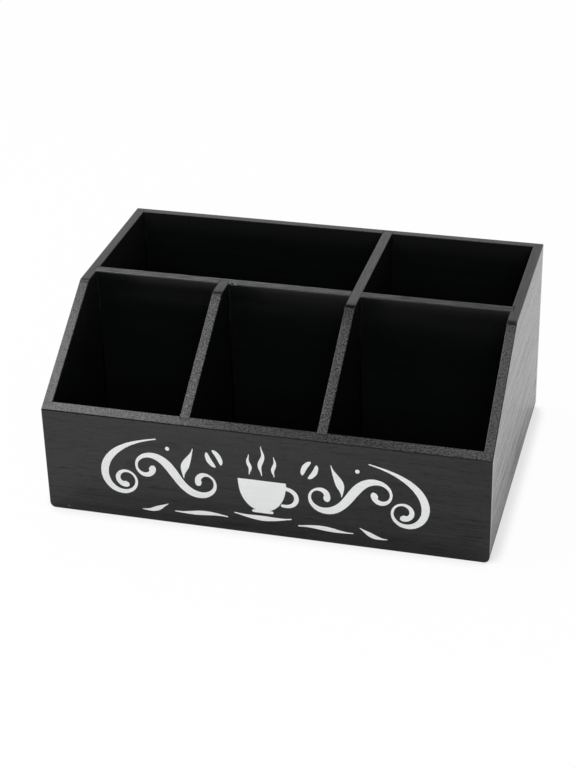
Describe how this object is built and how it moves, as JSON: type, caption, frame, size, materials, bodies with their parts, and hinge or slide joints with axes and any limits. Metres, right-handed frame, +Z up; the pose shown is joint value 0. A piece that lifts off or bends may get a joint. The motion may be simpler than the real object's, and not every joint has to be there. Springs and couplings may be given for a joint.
{
  "type": "coffee station organizer",
  "caption": "Low black-painted wooden countertop organizer with a sloped front and open bays in two rows for cups, pods, packets and stirrers.",
  "frame": {"origin": "on the surface that the box stands on, under the middle of its width and depth", "axes": "+X along the front to the right, +Y to the back, +Z up"},
  "size_m": [0.305, 0.211, 0.133],
  "materials": {
    "painted_wood": "satin black paint over sanded wood, grain just showing",
    "brad_steel": "bright finish nails, hidden in the joints",
    "wood_filler": "sanded wood filler, painted black with the boards"
  },
  "bodies": {
    "root": {"front_panel": "painted_wood", "back_panel": "painted_wood", "left_side_panel": "painted_wood", "right_side_panel": "painted_wood", "base_panel": "painted_wood", "middle_divider": "painted_wood", "cross_divider": "painted_wood", "front_divider": "painted_wood", "front_brads": "brad_steel", "back_brads": "brad_steel", "left_side_brads": "brad_steel", "right_side_brads": "brad_steel", "front_brad_filler": "wood_filler", "back_brad_filler": "wood_filler", "left_side_brad_filler": "wood_filler", "right_side_brad_filler": "wood_filler"}
  },
  "joints": []
}
